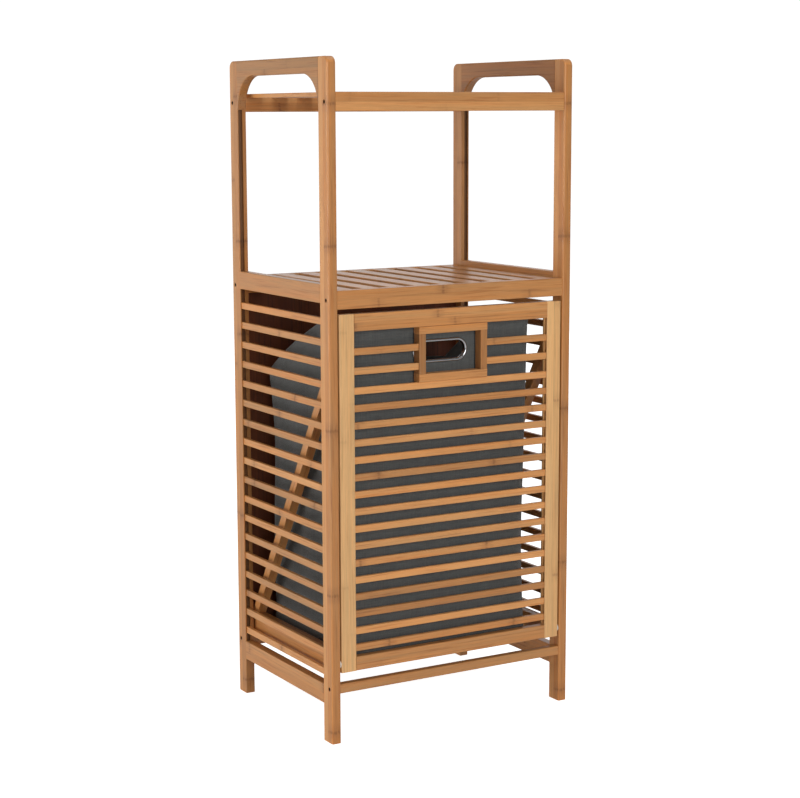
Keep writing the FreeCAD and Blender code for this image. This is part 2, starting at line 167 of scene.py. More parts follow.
class Graph:
    """A node tree with short calls that add nodes; an input takes a value or another node's output."""

    def __init__(self, tree):
        self.tree = tree

    def feed(self, socket, value):
        if isinstance(value, bpy.types.NodeSocket):
            self.tree.links.new(value, socket)
        else:
            socket.default_value = value

    def add(self, kind, inputs=None, **settings):
        node = self.tree.nodes.new("ShaderNode" + kind)
        for name, value in settings.items():
            setattr(node, name, value)
        for key, value in (inputs or {}).items():
            self.feed(node.inputs[key], value)
        return node

    def math(self, operation, *values):
        return self.add("Math", dict(enumerate(values)), operation=operation).outputs[0]

    def vector_math(self, operation, *values):
        return self.add("VectorMath", dict(enumerate(values)), operation=operation).outputs[0]

    def noise(self, vector, detail=2.0, roughness=0.5):
        inputs = {"Vector": vector, "Scale": 1.0, "Detail": detail, "Roughness": roughness}
        return self.add("TexNoise", inputs).outputs[0]

    def random(self, vector):
        return self.add("TexWhiteNoise", {"Vector": vector}, noise_dimensions="3D").outputs

    def step(self, value, start, end):
        """Smooth step from 0 at start to 1 at end; start may be the larger."""
        inputs = {0: value, 1: start, 2: end, 3: 0.0, 4: 1.0}
        return self.add("MapRange", inputs, interpolation_type="SMOOTHSTEP").outputs[0]

    def mix(self, factor, first, second):
        return self.add("Mix", {0: factor, 6: first, 7: second}, data_type="RGBA").outputs[2]

    def split(self, vector):
        return self.add("SeparateXYZ", {0: vector}).outputs

    def join(self, x, y, z):
        return self.add("CombineXYZ", {0: x, 1: y, 2: z}).outputs[0]

    def scaled(self, parts, scales):
        """A vector of each part times its own scale."""
        return self.join(*(self.math("MULTIPLY", part, scale) for part, scale in zip(parts, scales)))

    def toned(self, colour, tone):
        """A colour times one number."""
        return self.vector_math("MULTIPLY", colour, self.join(tone, tone, tone))

    def swing(self, value, gain, base):
        """Base plus gain times how far the value is from a half."""
        return self.math("MULTIPLY_ADD", self.math("SUBTRACT", value, 0.5), gain, base)

    def both(self, first, second):
        """Where both masks are."""
        return self.math("MULTIPLY", first, second)


def shader_group(name, inputs, outputs, fill):
    """A node group with these (name, kind, value) inputs and (name, kind) outputs, filled once."""
    tree = bpy.data.node_groups.new(name, "ShaderNodeTree")
    for label, kind, value in inputs:
        socket = tree.interface.new_socket(label, in_out="INPUT", socket_type="NodeSocket" + kind)
        socket.default_value = value
    for label, kind in outputs:
        tree.interface.new_socket(label, in_out="OUTPUT", socket_type="NodeSocket" + kind)
    source = tree.nodes.new("NodeGroupInput").outputs
    target = tree.nodes.new("NodeGroupOutput").inputs
    fill(Graph(tree), source, target)
    return tree


def fill_bamboo(g, source, target):
    """Laminated bamboo: strips along the first coordinate, each with its own tone and nodes.

    A strip's number is the whole part of the across and deep coordinates over its size.
    Nodes sit once in each spacing along a strip, at a random place in it, as a soft patchy mark.
    Veins, streaks and fibres are noise drawn out along the strip.
    """
    along, across, deep = g.split(source["Vector"])
    spacing, width, depth = g.split(source["Strip"])
    row = g.math("DIVIDE", across, width)
    row_number = g.math("FLOOR", row)
    layer_number = g.math("FLOOR", g.math("DIVIDE", deep, depth))
    strip, strip_tint = g.random(g.join(row_number, layer_number, source["Seed"]))
    _, strip_warmth, strip_strength = g.add("SeparateColor", {0: strip_tint}).outputs

    place = g.math("MULTIPLY_ADD", strip, STRIP_NODE_SHIFT, g.math("DIVIDE", along, spacing))
    layer_seed = g.math("MULTIPLY_ADD", layer_number, LAYER_SHIFT, source["Seed"])
    chance = g.random(g.join(g.math("FLOOR", place), row_number, layer_seed))[0]
    centre = g.math("MULTIPLY_ADD", chance, NODE_STRAY, (1 - NODE_STRAY) / 2)
    offset = g.math("MULTIPLY", g.math("SUBTRACT", g.math("FRACT", place), centre), spacing)
    wander = g.noise(g.scaled((along, across, deep), (0.0, 160.0, 160.0)))
    distance = g.math("ABSOLUTE", g.swing(wander, NODE_WANDER, offset))
    line = g.step(distance, *NODE_LINE)
    cloud = g.step(distance, *NODE_BLUSH)
    strength = g.step(strip_strength, 0.25, 0.95)

    shifted = g.math("ADD", along, g.math("MULTIPLY", strip, STRIP_GRAIN_SHIFT))

    def drawn_out(along_scale, across_scale, detail, roughness):
        """Noise with this many waves to the metre along the grain and across it."""
        scales = (along_scale, across_scale, across_scale)
        return g.noise(g.scaled((shifted, across, deep), scales), detail, roughness)

    streak = drawn_out(5.0, 150.0, 2.0, 0.55)
    vein = g.step(drawn_out(11.0, 380.0, 2.0, 0.55), 0.53, 0.68)
    fibre = drawn_out(18.0, 760.0, 3.0, 0.62)
    fleck = g.step(drawn_out(70.0, 1900.0, 1.0, 0.5), 0.60, 0.74)
    drift = drawn_out(2.2, 24.0, 1.0, 0.5)
    patch = g.step(drawn_out(90.0, 420.0, 2.0, 0.6), 0.36, 0.60)

    from_middle = g.math("ABSOLUTE", g.math("SUBTRACT", g.math("FRACT", row), 0.5))
    seam = g.step(g.math("MULTIPLY", g.math("SUBTRACT", 0.5, from_middle), width), *GLUE_SEAM)

    tone = g.swing(strip, source["Variation"], 1.0)
    for pattern, gain in ((streak, 0.62), (fibre, 0.42), (drift, 0.36)):
        tone = g.swing(pattern, gain, tone)
    for mask, gain in ((fleck, -0.10), (seam, -0.12)):
        tone = g.math("MULTIPLY_ADD", mask, gain, tone)
    # painted shade: the tone times the part's painted-shade number, which darkens the whole part for the
    # shade it stands in
    tone = g.math("MULTIPLY", tone, source["Shade"])

    def node_share(mask, patch_gain, base):
        """How much of the node's colour shows: the mask by the strip's own strength, in patches."""
        return g.both(g.both(mask, strength), g.math("MULTIPLY_ADD", patch, patch_gain, base))

    strip_share = g.math("MULTIPLY_ADD", strip_warmth, 0.50, -0.06)
    streak_share = g.math("MULTIPLY_ADD", streak, 1.5, -0.45)
    warmth = g.math("MAXIMUM", g.math("ADD", strip_share, streak_share), 0.0)
    colour = g.mix(warmth, source["Pale"], source["Warm"])
    colour = g.mix(g.math("MULTIPLY", vein, 0.55), colour, source["Vein"])
    colour = g.mix(node_share(cloud, 0.18, 0.15), colour, source["Node"])
    mark = node_share(line, 0.42, 0.20)
    colour = g.mix(mark, colour, source["Node"])
    g.feed(target["Color"], g.toned(colour, tone))

    rough = g.math("MULTIPLY_ADD", fibre, 0.18, source["Gloss"])
    g.feed(target["Roughness"], g.math("MULTIPLY_ADD", mark, 0.2, rough))
    height = fibre
    for mask, gain in ((fleck, -0.55), (seam, -0.8), (mark, 0.9)):
        height = g.math("MULTIPLY_ADD", mask, gain, height)
    g.feed(target["Height"], height)


BAMBOO_GROUP = shader_group(
    "laminated bamboo",
    [("Vector", "Vector", (0, 0, 0)), ("Strip", "Vector", (0.22, 0.012, 0.012)), ("Seed", "Float", 0.0),
     ("Variation", "Float", 0.2), ("Shade", "Float", 1.0), ("Gloss", "Float", 0.3),
     ("Pale", "Color", PALE_BAMBOO), ("Warm", "Color", WARM_BAMBOO),
     ("Vein", "Color", VEIN_BAMBOO), ("Node", "Color", NODE_BAMBOO)],
    [("Color", "Color"), ("Roughness", "Float"), ("Height", "Float")],
    fill_bamboo)


def fill_weave(g, source, target):
    """Plain weave: two sets of round threads that take turns on top, with uneven thick threads.

    Thread numbers are the whole parts of the two coordinates over the thread pitch.
    The upper thread is the one whose number parity agrees; its height is a half wave.
    """
    u, v, _ = g.split(source["Vector"])
    across = g.math("DIVIDE", u, source["Pitch"])
    up = g.math("DIVIDE", v, source["Pitch"])
    across_number = g.math("FLOOR", across)
    up_number = g.math("FLOOR", up)
    warp_on_top = g.math("PINGPONG", g.math("ADD", across_number, up_number), 1.0)
    weft_on_top = g.math("SUBTRACT", 1.0, warp_on_top)
    warp = g.math("SINE", g.math("MULTIPLY", g.math("FRACT", across), math.pi))
    weft = g.math("SINE", g.math("MULTIPLY", g.math("FRACT", up), math.pi))
    top = g.math("ADD", g.both(warp, warp_on_top), g.both(weft, weft_on_top))
    slub_up = g.noise(g.scaled((u, v, 1.0), (900.0, 45.0, 0.0)), 2.0)
    slub_across = g.noise(g.scaled((u, v, 1.0), (45.0, 900.0, 7.0)), 2.0)
    slub = g.math("ADD", slub_up, slub_across)
    number = g.join(g.both(across_number, warp_on_top), g.both(up_number, weft_on_top), warp_on_top)
    thread = g.random(number)[0]
    cloud = g.noise(g.scaled((u, v, 1.0), (22.0, 22.0, 3.0)), 3.0)
    tone = g.math("MULTIPLY_ADD", top, 0.26, 0.80)
    tone = g.math("MULTIPLY_ADD", g.math("SUBTRACT", slub, 1.0), 0.55, tone)
    tone = g.swing(thread, 0.22, tone)
    tone = g.swing(cloud, 0.30, tone)
    g.feed(target["Tone"], tone)
    g.feed(target["Height"], g.math("MULTIPLY_ADD", slub, 0.4, top))


WEAVE_GROUP = shader_group(
    "plain weave",
    [("Vector", "Vector", (0, 0, 0)), ("Pitch", "Float", THREAD_PITCH)],
    [("Tone", "Float"), ("Height", "Float")],
    fill_weave)


def fill_fine_marks(g, source, target):
    """Marks of handling: hairline scratches drawn out along the first axis, and soft smears."""
    parts = g.split(source["Vector"])
    g.feed(target["Hair"], g.noise(g.scaled(parts, (60.0, 2400.0, 2400.0)), 2.0, 0.6))
    g.feed(target["Smear"], g.noise(g.scaled(parts, (90.0, 90.0, 90.0)), 3.0, 0.6))


MARKS_GROUP = shader_group(
    "fine marks",
    [("Vector", "Vector", (0, 0, 0))],
    [("Hair", "Float"), ("Smear", "Float")],
    fill_fine_marks)


def new_material(name):
    """An empty material with its Principled shader: graph, shader, object coordinates, material."""
    material = bpy.data.materials.new(name)
    material.use_nodes = True
    tree = material.node_tree
    tree.nodes.clear()
    g = Graph(tree)
    shader = g.add("BsdfPrincipled")
    output = g.add("OutputMaterial")
    tree.links.new(shader.outputs[0], output.inputs[0])
    place = g.add("TexCoord").outputs["Object"]
    return g, shader, place, material


def use_group(g, tree, **inputs):
    node = g.add("Group", node_tree=tree)
    for label, value in inputs.items():
        g.feed(node.inputs[label], value)
    return node.outputs


# ---------------------------------------------------------------- bamboo

AXES = {"x": 0, "y": 1, "z": 2}


def name_seed(node):
    """A number worked out from the letters of a node's name, so that each node has its own grain."""
    return sum(ord(letter) * (k + 1) for k, letter in enumerate(node)) % 97 / 7


def paint_groove_shade(g, colour, parts):
    """The colour with painted shade in a post's slat groove, darker than the rest."""
    across, along = (g.math("ABSOLUTE", parts[axis]) for axis in (0, 1))
    inside = g.both(g.math("GREATER_THAN", across, GROOVE_X[0]), g.math("LESS_THAN", across, GROOVE_X[1]))
    inside = g.both(inside, g.math("LESS_THAN", along, GROOVE_END))
    inside = g.both(inside, g.step(along, *GROOVE_SHADE_Y))
    # painted shade: inside the groove the colour is darkened to stand in for the groove's shade
    return g.mix(inside, colour, g.toned(colour, GROOVE_SHADE))


def bamboo_material(node, order, strips, spacing=0.24, shade=1.0, variation=0.2, pitch=None, turn=0.0,
                    gloss=0.30, pale=PALE_BAMBOO, warm=WARM_BAMBOO, vein=VEIN_BAMBOO, grooved=False):
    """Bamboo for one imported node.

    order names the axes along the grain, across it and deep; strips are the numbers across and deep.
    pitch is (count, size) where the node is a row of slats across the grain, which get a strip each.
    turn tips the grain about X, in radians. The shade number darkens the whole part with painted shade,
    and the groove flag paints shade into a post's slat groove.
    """
    low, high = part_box(node)
    along, across, deep = (AXES[letter] for letter in order)
    if pitch:
        count, size = pitch
        width = (high[across] - low[across] - size) / (count - 1)
        start = low[across] - (width - size) / 2
    else:
        width = (high[across] - low[across]) / strips[0]
        start = low[across]
    depth = (high[deep] - low[deep]) / strips[1]
    g, shader, place, material = new_material("bamboo " + node.replace("_", " "))
    if turn:
        rotated = g.add("VectorRotate", {"Vector": place, "Angle": turn}, rotation_type="X_AXIS")
        place = rotated.outputs[0]
    parts = g.split(place)
    grain = g.join(parts[along], g.math("SUBTRACT", parts[across], start),
                   g.math("SUBTRACT", parts[deep], low[deep]))
    made = use_group(g, BAMBOO_GROUP, Vector=grain, Strip=(spacing, width, depth), Seed=name_seed(node),
                     Shade=shade, Variation=variation, Gloss=gloss, Pale=pale, Warm=warm, Vein=vein)
    # a post's slat groove gets painted shade
    colour = paint_groove_shade(g, made["Color"], parts) if grooved else made["Color"]
    g.feed(shader.inputs["Base Color"], colour)
    g.feed(shader.inputs["Roughness"], made["Roughness"])
    bump = g.add("Bump", {"Strength": 0.35, "Distance": 0.15 * MM, "Height": made["Height"]})
    g.feed(shader.inputs["Normal"], bump.outputs[0])
    shader.inputs["Coat Weight"].default_value = 0.18
    shader.inputs["Coat Roughness"].default_value = 0.22
    return material


def paint(node, material):
    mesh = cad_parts[node].data
    mesh.materials.clear()
    mesh.materials.append(material)


def lay_bamboo(node, order, strips=(1, 1), **choices):
    paint(node, bamboo_material(node, order, strips, **choices))


def paint_bamboo():
    """Every wooden node's own bamboo, with the grain along the piece."""
    # painted shade: the right rear post is darkened for the shade it stands in, and every post gets painted
    # shade in its slat groove
    for post, shade in (("left_front_post", 1.0), ("left_rear_post", 1.0),
                        ("right_front_post", 1.0), ("right_rear_post", 0.88)):
        lay_bamboo(post, "zyx", (2, 1), spacing=0.21, shade=shade, grooved=True)
    for side in ("left_", "right_"):
        # painted shade: the handles are darkened to stand in for the shade on them
        lay_bamboo(side + "handle", "yzx", (5, 1), shade=0.70)
        lay_bamboo(side + "mid_rail", "yzx", (2, 1))
        lay_bamboo(side + "low_rail", "yzx", (2, 1))
        lay_bamboo(side + "side_slats", "yzx", variation=0.34, pitch=(SIDE_SLATS, THIN_SLAT_H))
        lay_bamboo(side + "door_stile", "zxy", (2, 1), spacing=0.2, variation=0.12,
                   pale=STILE_PALE, warm=STILE_WARM, vein=STILE_VEIN)
        lay_bamboo(side + "door_short_slats", "xzy", pitch=(DOOR_SHORT_SLATS, THIN_SLAT_H))
        # painted shade: the window jambs are darkened for the shade they stand in within the window's
        # recess
        lay_bamboo(side + "window_jamb", "zxy", shade=0.74)
        lay_bamboo(side + "tilt_bar", "yzx")
        lay_bamboo(side + "tilt_brace", "zyx", (12, 1), turn=-math.atan(BRACE_LEAN))
        lay_bamboo(side + "stop_peg", "xyz")
        lay_bamboo(side + "rest_peg", "xyz")
    for shelf in ("top_shelf_", "mid_shelf_"):
        lay_bamboo(shelf + "front_rail", "xzy", (2, 1))
        lay_bamboo(shelf + "rear_rail", "xzy", (2, 1))
        lay_bamboo(shelf + "slats", "yxz", variation=0.26, pitch=(SHELF_SLATS, SHELF_SLAT_W))
    # painted shade: the low front and rear rails are darkened for the shade under the door and inside the
    # cabinet
    lay_bamboo("low_front_rail", "xzy", shade=0.82)
    lay_bamboo("low_rear_rail", "xzy", shade=0.82)
    lay_bamboo("window_header", "xzy")
    lay_bamboo("window_sill", "xzy")
    lay_bamboo("door_top_rail", "xzy", (2, 1))
    lay_bamboo("door_bottom_rail", "xzy", (2, 1))
    lay_bamboo("door_slats", "xzy", variation=0.42, pitch=(DOOR_SLATS, THIN_SLAT_H))
    lay_bamboo("tilt_cross_bar", "xzy")
    for k in range(TILT_FLOOR_SLATS):
        lay_bamboo("tilt_floor_slat_" + str(k + 1), "xyz")
    # painted shade: the rear panel's dark colours stand in for the shade inside the cabinet
    lay_bamboo("rear_panel", "zxy", (18, 1), spacing=0.3, variation=0.24, gloss=0.60,
               pale=SHADED_PANEL_PALE, warm=SHADED_PANEL_WARM, vein=SHADED_PANEL_VEIN)


# ---------------------------------------------------------------- metal and plastic

def metal_material(name, colour, rough, hair_gain, bump_distance):
    """Bare or coated metal with hairline marks in its roughness and relief."""
    g, shader, place, material = new_material(name)
    marks = use_group(g, MARKS_GROUP, Vector=place)
    dark = tuple(0.78 * part for part in colour[:3]) + (1.0,)
    g.feed(shader.inputs["Base Color"], g.mix(marks["Smear"], dark, colour))
    g.feed(shader.inputs["Roughness"], g.math("MULTIPLY_ADD", marks["Hair"], hair_gain, rough))
    bump = g.add("Bump", {"Strength": 0.3, "Distance": bump_distance, "Height": marks["Hair"]})
    g.feed(shader.inputs["Normal"], bump.outputs[0])
    shader.inputs["Metallic"].default_value = 1.0
    return material


def nylon_material():
    g, shader, place, material = new_material("natural nylon")
    marks = use_group(g, MARKS_GROUP, Vector=place)
    g.feed(shader.inputs["Base Color"],
           g.mix(marks["Smear"], (0.66, 0.63, 0.55, 1.0), (0.80, 0.78, 0.71, 1.0)))
    g.feed(shader.inputs["Roughness"], g.math("MULTIPLY_ADD", marks["Smear"], 0.2, 0.35))
    return material


def paint_hardware():
    paint("frame_screws", metal_material("black oxide", (0.060, 0.048, 0.040, 1.0), 0.32, 0.2, 0.02 * MM))
    steel = metal_material("pin steel", (0.62, 0.61, 0.60, 1.0), 0.22, 0.2, 0.02 * MM)
    nylon = nylon_material()
    for side in ("left_", "right_"):
        paint(side + "pivot_pin", steel)
        paint(side + "pivot_washer", nylon)


# ---------------------------------------------------------------- surfaces

def mesh_piece(name, points, faces, material, uv=None):
    """A smooth mesh from arrays of points and faces, riding on the door.

    uv holds one pair for each face corner.
    """
    mesh = bpy.data.meshes.new(name)
    mesh.from_pydata(points.reshape(-1, 3), [], faces)
    if uv is not None:
        layer = mesh.uv_layers.new(name="UVMap")
        layer.data.foreach_set("uv", uv.astype(np.float32).ravel())
    mesh.polygons.foreach_set("use_smooth", np.full(len(mesh.polygons), True))
    mesh.materials.append(material)
    mesh.update()
    piece = bpy.data.objects.new(name, mesh)
    bpy.context.scene.collection.objects.link(piece)
    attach(piece, DOOR)
    return piece


def grid_faces(rows, columns, wrap_rows=False):
    """Quads of a grid that closes on itself along its columns, and along its rows too if asked."""
    last = rows if wrap_rows else rows - 1
    r, c = np.meshgrid(np.arange(last), np.arange(columns), indexing="ij")
    next_r, next_c = (r + 1) % rows, (c + 1) % columns
    corners = ((r, c), (r, next_c), (next_r, next_c), (next_r, c))
    return np.stack([row * columns + column for row, column in corners], -1).reshape(-1, 4)


def smooth_step(x, start, end):
    """From 0 at start to 1 at end, level at both: three t squared minus two t cubed."""
    t = np.clip((x - start) / (end - start), 0, 1)
    return t * t * (3 - 2 * t)


def ridge(x, middle, width):
    """One at the middle, falling off as the exponential of minus the distance over the width, squared."""
    return np.exp(-((x - middle) / width) ** 2)


class Bag:
    """The laundry bag's outer surface as a function of a place round its girth and a height share.

    The girth is a rounded rectangle, walked anticlockwise from the middle of the front.
    A wall point is the girth's point, drawn in a little from left and right towards the foot, plus
    its outward normal times the sum of the panel's belly, soft upright folds, the hollow of the
    slack front, the corner and foot seams, and the folded hem with its pulled-in stitch line.
    """

    def __init__(self):
        low, high = (np.array(corner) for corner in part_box("laundry_bag"))
        self.centre = (low[:2] + high[:2]) / 2
        self.half = (high[:2] - low[:2]) / 2
        self.foot = low[2]
        self.front_rim = high[2]

    def girth(self, s, radius):
        """Point and outward normal at share s of the way round, with this corner radius."""
        hx, hy = self.half
        straight_x, straight_y = 2 * (hx - radius), 2 * (hy - radius)
        arc = math.pi / 2 * radius
        lengths = [straight_x / 2, arc, straight_y, arc, straight_x, arc, straight_y, arc, straight_x / 2]
        total = sum(lengths)
        d = (s % 1.0) * total
        x, y = np.zeros_like(d), np.zeros_like(d)
        nx, ny = np.zeros_like(d), np.zeros_like(d)
        corners = [(1, -1), (1, 1), (-1, 1), (-1, -1)]
        sides = [(0, -1), (1, 0), (0, 1), (-1, 0), (0, -1)]
        start = np.zeros_like(d)
        for k, length in enumerate(lengths):
            here = (d >= start) & (d <= start + length + 1e-9)
            t = np.where(here, d - start, 0)
            if k % 2 == 0:
                sx, sy = sides[k // 2]
                along = (-sy, sx)
                reach = t - length / 2
                if k == 0:
                    reach = t
                if k == 8:
                    reach = t - length
                px = sx * hx + along[0] * reach
                py = sy * hy + along[1] * reach
                qx, qy = np.full_like(d, sx), np.full_like(d, sy)
            else:
                cx, cy = corners[k // 2]
                angle = (k // 2) * math.pi / 2 - math.pi / 2 + t / np.maximum(radius, 1e-9)
                qx, qy = np.cos(angle), np.sin(angle)
                px = cx * (hx - radius) + radius * qx
                py = cy * (hy - radius) + radius * qy
            x, y = np.where(here, px, x), np.where(here, py, y)
            nx, ny = np.where(here, qx, nx), np.where(here, qy, ny)
            start = start + length
        return np.stack([x, y], -1) + self.centre, np.stack([nx, ny], -1)

    def rim(self, y):
        """Height of the rim: level in front, then falling to the rear a little faster as it goes."""
        t = np.clip((y - BAG_SLOPE_START_Y) / (BAG_SLOPE_END_Y - BAG_SLOPE_START_Y), 0, 1)
        eased = np.where(t < 0.12, t * t / 0.24, t - 0.06) / 0.94
        return self.front_rim - BAG_RIM_PLAY - BAG_REAR_DROP * (0.8 * eased + 0.2 * eased ** 3)

    def wall(self, s, h):
        """Point on the wall at girth share s and height share h, 0 at the foot and 1 at the rim."""
        height = np.clip(h, 0, 1)
        radius = BAG_RIM_CORNER_R + (BAG_CORNER_R - BAG_RIM_CORNER_R) * np.sin(math.pi * height) ** 0.7
        point, normal = self.girth(s, radius)
        top = self.rim(point[..., 1])
        z = self.foot + BAG_FOOT_R + h * (top - self.foot - BAG_FOOT_R)
        below = top - z
        across = (point[..., 0] - self.centre[0]) / self.half[0]
        x, y = point[..., 0] - BAG_TAPER * across * (1 - height), point[..., 1]
        side = np.abs(normal[..., 0])
        front, rear = np.clip(-normal[..., 1], 0, 1), np.clip(normal[..., 1], 0, 1)

        side_place, rear_place = (y - self.centre[1]) / self.half[1], (x - self.centre[0]) / self.half[0]
        panel_place = np.clip(np.where(side > rear, side_place, rear_place), -1, 1)
        bow = np.sin(math.pi * height) * np.cos(math.pi * panel_place / 2)
        belly = bow * (side * SIDE_BELLY + rear * REAR_BELLY)
        side_folds = 0.9 * np.sin(y * 95 + 2.1 * np.sin(z * 9) + 1.3) + 1.5 * np.sin(y * 41 - z * 14 + 0.4)
        rear_folds = 1.2 * np.sin(x * 73 + 1.7 * np.sin(z * 11)) + 1.4 * np.sin(x * 37 + z * 12)
        fade = smooth_step(below, 0.5 * HEM_DEPTH, 5 * HEM_DEPTH) * smooth_step(h, -0.05, 0.25)
        folds = (side_folds * side + rear_folds * rear) * fade * MM
        slack = -FRONT_SLACK * front * (1 - np.cos(2 * math.pi * h)) / 2

        hem = HEM_PROUD * smooth_step(below, HEM_DEPTH + HEM_EDGE, HEM_DEPTH - HEM_EDGE)
        pull = -STITCH_PULL * ridge(below, HEM_DEPTH - STITCH_ABOVE_HEM_EDGE, STITCH_PULL_W)
        under_hem = smooth_step(below, HEM_DEPTH, HEM_DEPTH + CORNER_SEAM_FADE)
        corner_seam = CORNER_SEAM_R * ridge(side, np.abs(normal[..., 1]), CORNER_SEAM_SHARE) * under_hem
        foot_seam = FOOT_SEAM_R * ridge(z - self.foot, FOOT_SEAM_Z, FOOT_SEAM_W)
        out = belly + folds + slack + hem + pull + corner_seam + foot_seam
        out = np.where(front > 0.3, np.minimum(out, FRONT_MOST_OUT), out)
        return np.stack([x + normal[..., 0] * out, y + normal[..., 1] * out, z], -1), normal


def cloth_material(name, colour, pitch):
    """Woven cloth on the piece's own UV map, which is in metres."""
    g, shader, _, material = new_material(name)
    uv = g.add("UVMap", uv_map="UVMap").outputs[0]
    weave = use_group(g, WEAVE_GROUP, Vector=uv, Pitch=pitch)
    tone = weave["Tone"]
    g.feed(shader.inputs["Base Color"], g.toned(colour[:3], tone))
    g.feed(shader.inputs["Roughness"], g.math("MULTIPLY_ADD", tone, -0.1, 0.92))
    bump = g.add("Bump", {"Strength": 0.55, "Distance": 0.25 * MM, "Height": weave["Height"]})
    g.feed(shader.inputs["Normal"], bump.outputs[0])
    shader.inputs["Sheen Weight"].default_value = 0.22
    shader.inputs["Sheen Roughness"].default_value = 0.45
    return material


def open_ring_hole(points, quads, bag):
    """Cut the stadium-shaped hole for the ring: faces within its radius of its middle line go.

    The points left along the cut are drawn in to that radius. Returns the points and the faces kept.
    """
    low, high = (np.array(corner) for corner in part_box("bag_grommet"))
    outer = (high[2] - low[2]) / 2
    radius = outer - RING_RIM + RING_SLEEVE + RING_PLAY
    reach = (high[0] - low[0]) / 2 - outer
    x, z = points[:, 0] - (low[0] + high[0]) / 2, points[:, 2] - (low[2] + high[2]) / 2
    spine = np.clip(x, -reach, reach)
    away = np.maximum(np.hypot(x - spine, z), 1e-9)
    front = points[:, 1] < bag.centre[1] - 0.8 * bag.half[1]
    inside = front & (away < radius)
    kept = ~inside[quads].any(1)
    rim = np.zeros(len(points), bool)
    rim[quads[~kept]] = True
    rim &= ~inside
    drawn = points.copy()
    drawn[rim, 0] += ((x - spine) * (radius / away - 1))[rim]
    drawn[rim, 2] += (z * (radius / away - 1))[rim]
    return drawn, kept


def make_bag(bag, cloth):
    """Bag shell, with its hole for the ring.

    Floor rows grow from a centre point, a quarter round turns up, and the wall rises to the rim.
    """
    columns, floor_rows, round_rows, wall_rows = 520, 14, 6, 150
    s = np.arange(columns) / columns
    floor_share = np.linspace(0, 1, floor_rows + 1)[1:, None]
    foot_point, foot_normal = bag.wall(s[None, :], np.zeros((1, columns)))
    ring = foot_point[..., :2] - foot_normal * BAG_FOOT_R
    floor = bag.centre + (ring - bag.centre) * floor_share[..., None]
    sag = -BAG_FLOOR_SAG * np.cos(math.pi * floor_share) * np.ones((1, columns))
    floor = np.concatenate([floor, (bag.foot + BAG_FLOOR_Z + sag)[..., None]], -1)
    angle = (np.arange(1, round_rows + 1) / (round_rows + 1) * math.pi / 2)[:, None, None]
    round_z = np.broadcast_to(bag.foot + BAG_FOOT_R * (1 - np.cos(angle)), (round_rows, columns, 1))
    turn_up = np.concatenate([ring + foot_normal * BAG_FOOT_R * np.sin(angle), round_z], -1)
    share = np.linspace(0, 1, wall_rows) ** 0.93
    wall, _ = bag.wall(*np.broadcast_arrays(s[None, :], share[:, None]))
    rows = np.concatenate([floor, turn_up, wall])
    count = len(rows)
    points = np.concatenate([rows.reshape(-1, 3), [[*bag.centre, bag.foot + BAG_FLOOR_MIDDLE_Z]]])
    quads = grid_faces(count, columns)
    pole = count * columns
    fan = np.stack([np.full(columns, pole), (np.arange(columns) + 1) % columns, np.arange(columns)], -1)
    girth_length = 4 * bag.half.sum()
    steps = np.linalg.norm(np.diff(rows, axis=0), axis=-1).mean(1)
    profile = np.concatenate([[0], np.cumsum(steps)])
    corner_row, corner_column = quads // columns, quads % columns
    wrapped = (corner_column == 0) & (corner_column[:, [0]] == columns - 1)
    column_u = corner_column + np.where(wrapped, columns, 0)
    quad_uv = np.stack([column_u / columns * girth_length, profile[corner_row]], -1)
    fan_uv = points[fan][..., :2] - bag.centre
    points, kept = open_ring_hole(points, quads, bag)
    faces = np.concatenate([quads[kept].ravel(), fan.ravel()])
    used, faces = np.unique(faces, return_inverse=True)
    split_at = 4 * kept.sum()
    faces = faces[:split_at].reshape(-1, 4).tolist() + faces[split_at:].reshape(-1, 3).tolist()
    uv = np.concatenate([quad_uv[kept].reshape(-1, 2), fan_uv.reshape(-1, 2)])
    piece = mesh_piece("laundry_bag_shell", points[used], faces, cloth, uv)
    thickness = piece.modifiers.new("cloth thickness", "SOLIDIFY")
    thickness.thickness = BAG_CLOTH_T
    thickness.offset = -1.0
    thickness.use_even_offset = True
    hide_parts("laundry_bag")


